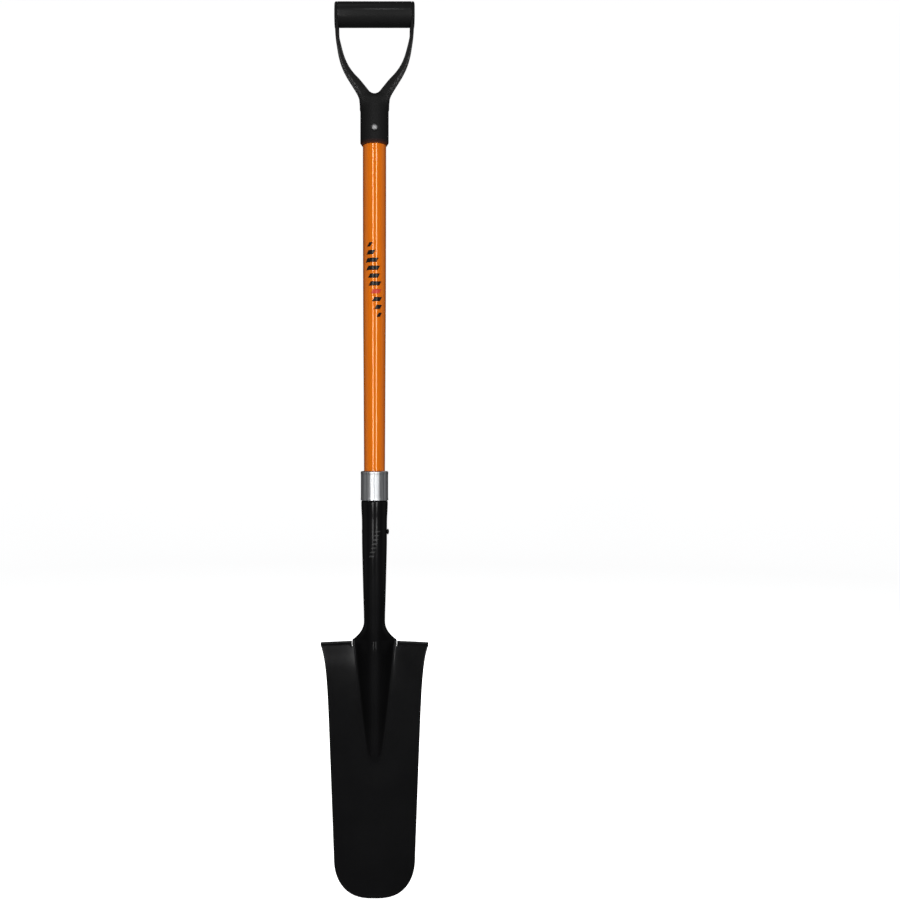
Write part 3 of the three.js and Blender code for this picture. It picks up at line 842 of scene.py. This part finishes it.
def make_washer():
    radius = WASHER_HIGH.x
    near, far = WASHER_LOW.y, WASHER_HIGH.y
    corners = [
        (RIVET_BORE, near, 0.2),
        (radius, near, 0.2),
        (radius, far, 0.5),
        (RIVET_BORE, far, 0.3),
    ]
    washer = turned("rivet_burr", rounded_outline(corners), "Y", (0, 0, GRIP_RIVET_Z), segments=64)
    finish_piece(washer, "rivet_steel", "rivet_steel", "grip_rivet_washer")


def make_socket_rivet():
    """A domed head on the right and an end that lies flush with the socket on the left."""
    ease = 0.8
    head_radius, head_height = SOCKET_RIVET_HIGH.y, 2.4
    head_base = SOCKET_RIVET_HIGH.x - head_height
    flush = SOCKET_RIVET_LOW.x
    outline = [
        Vector((0, flush)),
        Vector((RIVET_SHANK - ease, flush)),
        Vector((RIVET_SHANK, flush + ease)),
        Vector((RIVET_SHANK, head_base)),
        *dome_points(head_radius, head_base, head_height),
    ]
    rivet = turned("socket_rivet_body", outline, "X", (0, 0, SOCKET_RIVET_Z), segments=64)
    finish_piece(rivet, "blade_paint", "blade_paint", "socket_rivet")


# ---- grip yoke ---------------------------------------------------------------------------

def blend(a, b, width):
    """The union of two distance fields, with a fillet where they meet."""
    share = np.clip(0.5 + 0.5 * (b - a) / width, 0, 1)
    return b + (a - b) * share - width * share * (1 - share)


def rounded_corner(a, b, radius):
    """The inside of two faces whose shared edge is rounded."""
    a, b = a + radius, b + radius
    return np.minimum(np.maximum(a, b), 0) + np.hypot(np.maximum(a, 0), np.maximum(b, 0)) - radius


def arm_sizes(column, heights):
    """One column of the arm's table at each of the heights."""
    table = [(row[0], row[column]) for row in ARM_PROFILE]
    lowest, highest = table[0][0], table[-1][0]
    return np.array([smooth_value(table, min(max(h, lowest), highest)) for h in heights])


def arm_field(x, y, z):
    """Distance from the right arm, a stack of rounded level sections."""
    heights = z[0, 0]
    outer, inner, depth = (arm_sizes(column, heights) for column in (1, 2, 3))
    middle, reach = (outer + inner) / 2, (outer - inner) / 2
    lean = np.gradient(middle, heights)
    scale = np.minimum(reach / np.hypot(1, lean), depth)
    power = 2 / ARM_SQUARENESS
    norm = (np.abs((x - middle) / reach) ** power + np.abs(y / depth) ** power) ** (1 / power)
    return np.maximum((norm - 1) * scale, np.maximum(ARM_FOOT_Z - z, z - ARM_TOP_Z))


def yoke_field(x, y, z):
    """Distance from the moulded yoke: arms, ears and socket, less the spaces for other pieces."""
    around = np.hypot(x, y)
    about_bar = np.hypot(y, z)
    about_rivet = np.hypot(x, z - GRIP_RIVET_Z)
    arms = blend(arm_field(x, y, z), arm_field(-x, y, z), CROTCH_FILLET)
    socket = rounded_corner(around - YOKE_RADIUS, z - YOKE_CROWN_Z, YOKE_CROWN_ROUNDING)
    solid = blend(arms, socket, SOCKET_FILLET)
    over_rim = z - YOKE_RIM_Z - CHAMFER_HEIGHT
    chamfer = (around - YOKE_RADIUS) * CHAMFER_HEIGHT - over_rim * CHAMFER_WIDTH
    chamfer = chamfer / math.hypot(CHAMFER_HEIGHT, CHAMFER_WIDTH)
    solid = np.maximum(solid, np.maximum(YOKE_RIM_Z - z, chamfer))
    ears = rounded_corner(about_bar - BAR_RADIUS, np.abs(x) - EAR_FACE, EAR_ROUNDING)
    ears = np.maximum(ears, EAR_SEAM - np.abs(x))
    solid = blend(solid, ears, EAR_FILLET)
    shaft_bore = np.maximum(around - YOKE_BORE, z - YOKE_BORE_TOP_Z)
    sleeve_space = np.maximum(about_bar - BAR_RADIUS - GAP, np.abs(x) - EAR_SEAM)
    rod_bore = about_bar - ROD_BORE
    rivet_bore = about_rivet - RIVET_BORE
    front_seat = np.maximum(about_rivet - FRONT_SEAT_RADIUS, y + RIVET_SEAT_Y)
    back_seat = np.maximum(about_rivet - BACK_SEAT_RADIUS, RIVET_SEAT_Y - y)
    spaces = [shaft_bore, sleeve_space, rod_bore, rivet_bore, front_seat, back_seat]
    for space in spaces:
        solid = np.maximum(solid, -space)
    return solid


def surface_of(field, low, cell):
    """Points and quads of the closed skin round the negative part of a sampled field."""
    shape = tuple(size - 1 for size in field.shape)
    sums = np.zeros((*shape, 3))
    counts = np.zeros(shape)
    crossings = []
    for axis in range(3):
        start = field[tuple(slice(None, -1) if k == axis else slice(None) for k in range(3))]
        end = field[tuple(slice(1, None) if k == axis else slice(None) for k in range(3))]
        place = np.argwhere((start < 0) != (end < 0))
        first, last = start[tuple(place.T)], end[tuple(place.T)]
        point = place.astype(float)
        point[:, axis] += first / (first - last)
        side, other = [k for k in range(3) if k != axis]
        ring = []
        for back_side, back_other in ((1, 1), (0, 1), (0, 0), (1, 0)):
            box = place.copy()
            box[:, side] -= back_side
            box[:, other] -= back_other
            np.add.at(sums, tuple(box.T), point)
            np.add.at(counts, tuple(box.T), 1)
            ring.append(box)
        crossings.append(ring)
    used = counts > 0
    number = np.full(shape, -1)
    number[used] = np.arange(used.sum())
    points = sums[used] / counts[used][:, None] * cell + low
    quads = [np.stack([number[tuple(box.T)] for box in ring], axis=1) for ring in crossings]
    return points, np.concatenate(quads)


def make_yoke():
    cell = 0.72
    margin = 2.2
    low = np.array([-EAR_FACE - margin, -YOKE_RADIUS - margin, YOKE_RIM_Z - margin])
    high = np.array([EAR_FACE + margin, YOKE_RADIUS + margin, BAR_RADIUS + margin])
    axes = [np.arange(a, b, cell) for a, b in zip(low, high)]
    field = yoke_field(axes[0][:, None, None], axes[1][None, :, None], axes[2][None, None, :])
    points, quads = surface_of(field, low, cell)
    yoke = mesh_object("yoke", points.tolist(), quads.tolist())
    ease = yoke.modifiers.new("ease", "SMOOTH")
    ease.factor = 0.5
    ease.iterations = 2
    bake_modifiers(yoke)
    keep_inside(yoke, "grip_yoke")
    finish_piece(yoke, "yoke_polymer", "yoke_polymer", "grip_yoke")


# ---- printed and stamped marks -----------------------------------------------------------

def wrapped_bars(name, bars, profile, base, rise):
    """Thin closed bars wrapped on the front of a round piece with the given profile.

    A bar is (low height, high height, left, right, slant): left and right are arc lengths from the
    front, and slant moves the upper end across. It reaches from base to base + rise off the surface.
    """
    points = []
    faces = []
    across, up = 10, 6
    for low, high, left, right, slant in bars:
        layers = []
        for lift in (base, base + rise):
            first = len(points)
            for row in range(up + 1):
                v = row / up
                height = low + (high - low) * v
                for column in range(across + 1):
                    u = column / across
                    arc = left + (right - left) * u + slant * v
                    radius = smooth_value(profile, height) + lift
                    angle = arc / radius
                    points.append(Vector((radius * math.sin(angle), -radius * math.cos(angle), height)))
            layers.append(first)
        width = across + 1
        for first in layers:
            for row in range(up):
                for column in range(across):
                    here = first + row * width + column
                    faces.append((here, here + 1, here + 1 + width, here + width))
        border = list(range(across))
        border += [row * width + across for row in range(up)]
        border += [up * width + column for column in range(across, 0, -1)]
        border += [row * width for row in range(up, 0, -1)]
        inner, outer = layers
        for here, there in zip(border, border[1:] + border[:1]):
            faces.append((inner + here, inner + there, outer + there, outer + here))
    return mesh_object(name, points, faces)


def make_shaft_print():
    """A plain generic graphic: slanted strokes in a leaning column, one of them red."""
    top = -314.0
    pitch = 10.6
    stroke_height = 0.56 * pitch
    slant = 3.5
    start, lean = -7.5, 1.5
    half_widths = [3.5, 6.0, 9.0, 9.5, 8.0, 8.5, 7.0, 6.5, 5.0, 3.5]
    red_stroke = 6
    base, rise = 0.02, 0.1
    trim = 2.0
    black = []
    red = []
    for k, half in enumerate(half_widths):
        high = top - pitch * k
        middle = start + lean * k
        bar = (high - stroke_height, high, middle - half, middle + half - trim, slant)
        (red if k == red_stroke else black).append(bar)
    print_black = wrapped_bars("shaft_print_black", black, SHAFT_PROFILE, base, rise)
    print_red = wrapped_bars("shaft_print_red", red, SHAFT_PROFILE, base, rise)
    finish_piece(print_black, "ink_black", "shaft_gloss")
    finish_piece(print_red, "ink_red", "shaft_gloss")


def make_socket_stamp():
    """Plain slanted ticks raised on the front of the socket."""
    lowest = -741.0
    pitch = 5.6
    tick_height = 2.2
    start, lean = -4.5, 1.35
    left, right = 4.0, 2.5
    slant = 2.5
    bars = []
    for k in range(7):
        low = lowest + pitch * k
        middle = start + lean * k
        bars.append((low, low + tick_height, middle - left, middle + right, slant))
    ticks = wrapped_bars("socket_ticks", bars, SOCKET_PROFILE, base=-0.1, rise=0.6)
    finish_piece(ticks, "rubbed_paint_and_highlight", "blade_paint")


# ---- stage -------------------------------------------------------------------------------

SENSOR_WIDTH = 36
FOCAL_RATIO = 11 / 9  # focal length over the sensor's width
CAMERA_DISTANCE = 1.5053
CAMERA_HEIGHT = -0.5957
CAMERA_SHIFT = (0.0839, 0.0)


def make_camera():
    data = bpy.data.cameras.new("camera")
    data.sensor_width = SENSOR_WIDTH
    data.lens = SENSOR_WIDTH * FOCAL_RATIO
    data.shift_x, data.shift_y = CAMERA_SHIFT
    camera = bpy.data.objects.new("camera", data)
    camera.location = (0, -CAMERA_DISTANCE, CAMERA_HEIGHT)
    camera.rotation_euler = (QUARTER_TURN, 0, 0)
    bpy.context.scene.collection.objects.link(camera)
    bpy.context.scene.camera = camera


def stage_material():
    look = Look("studio_white", Roughness=0.9, Specular_IOR_Level=0.1)
    look.drive("Base Color", look.ramp(look.noise(3.0), (0.3, grey(0.88)), (0.7, grey(0.9))))
    look.shader.inputs["Emission Color"].default_value = (1, 1, 1, 1)
    look.shader.inputs["Emission Strength"].default_value = 0.92
    return look.material


def make_stage():
    """A floor that sweeps up into a backdrop all round, seen only by the camera."""
    reach, bend, height = 6.0, 1.5, 5.0
    bend_steps = 12
    segments = 64
    profile = [(0.0, 0.0), (reach - bend, 0.0)]
    for k in range(1, bend_steps + 1):
        angle = QUARTER_TURN * k / bend_steps
        profile.append((reach - bend + bend * math.sin(angle), bend - bend * math.cos(angle)))
    profile.append((reach, height))
    size = len(profile)
    points = []
    faces = []
    for k in range(segments):
        angle = 2 * math.pi * k / segments
        for radius, rise in profile:
            place = Vector((radius * math.cos(angle), radius * math.sin(angle), FLOOR_Z + rise))
            points.append(place / MM)
        for step in range(size - 1):
            here, there = k * size + step, ((k + 1) % segments) * size + step
            faces.append((here, here + 1, there + 1, there))
    sweep = mesh_object("studio_sweep", points, faces)
    sweep.data.materials.append(stage_material())
    sweep.visible_glossy = False
    sweep.visible_diffuse = False


def area_light(name, place, target, size, power):
    data = bpy.data.lights.new(name, "AREA")
    data.shape = "RECTANGLE"
    data.size, data.size_y = size
    data.energy = power
    light = bpy.data.objects.new(name, data)
    light.location = place
    light.rotation_euler = (Vector(target) - Vector(place)).to_track_quat("-Z", "Y").to_euler()
    bpy.context.scene.collection.objects.link(light)
    return light


def make_lights():
    """Two tall strips beside the camera, with dim fills from above, below, the sides and the rear.

    A small light over the camera gives the crossbar its glint.
    """
    strip_distance, strip_height, strip_middle = 1.55, 1.5, -0.12
    strips = [("strip_left", -15.2, 0.16, 15.0), ("strip_right", 19.5, 0.24, 13.0)]
    for name, azimuth, width, power in strips:
        turn = math.radians(azimuth)
        across, away = strip_distance * math.sin(turn), strip_distance * math.cos(turn)
        target = (0, 0, strip_middle)
        area_light(name, (across, -away, strip_middle), target, (width, strip_height), power)
    area_light("overhead", (-0.5, -0.6, 1.9), (0, 0, -0.5), (1.0, 0.8), 1.6)
    area_light("bar_glint", (0.06, -1.6, 0.88), (0, 0, 0), (0.24, 0.18), 1.2)
    area_light("rear", (0.5, 2.4, 1.3), (0, 0, -0.5), (1.6, 1.2), 8)
    bounce = area_light("bounce", (0, -1.0, -1.15), (0, 0, -0.2), (1.4, 0.6), 6.0)
    bounce.visible_glossy = False
    for side in (-1, 1):
        area_light("side", (side * 2.2, 0.0, -0.35), (0, 0, -0.55), (1.6, 1.6), 1.6)
        rear_strip = area_light("rear_strip", (side, 1.75, -0.3), (0, 0, -0.6), (0.5, 1.5), 20)
        rear_strip.visible_glossy = False


def make_world():
    world = bpy.data.worlds.new("studio")
    world.use_nodes = True
    background = world.node_tree.nodes["Background"]
    background.inputs["Color"].default_value = (0.92, 0.96, 1.0, 1.0)
    background.inputs["Strength"].default_value = 0.05
    bpy.context.scene.world = world
    bpy.context.scene.view_settings.view_transform = "Standard"


def paint_plugs():
    """The plugs are hidden in the shaft: they keep their own shape and get a wood look."""
    for plug in ("lower_shaft_plug", "upper_shaft_plug"):
        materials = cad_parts[plug].data.materials
        materials.clear()
        materials.append(MATERIALS["plug_wood"])


make_camera()
make_stage()
make_lights()
make_world()
make_blade()
make_shaft()
make_ferrule()
make_sleeve()
make_rod()
make_grip_rivet()
make_washer()
make_socket_rivet()
make_yoke()
make_shaft_print()
make_socket_stamp()
paint_plugs()
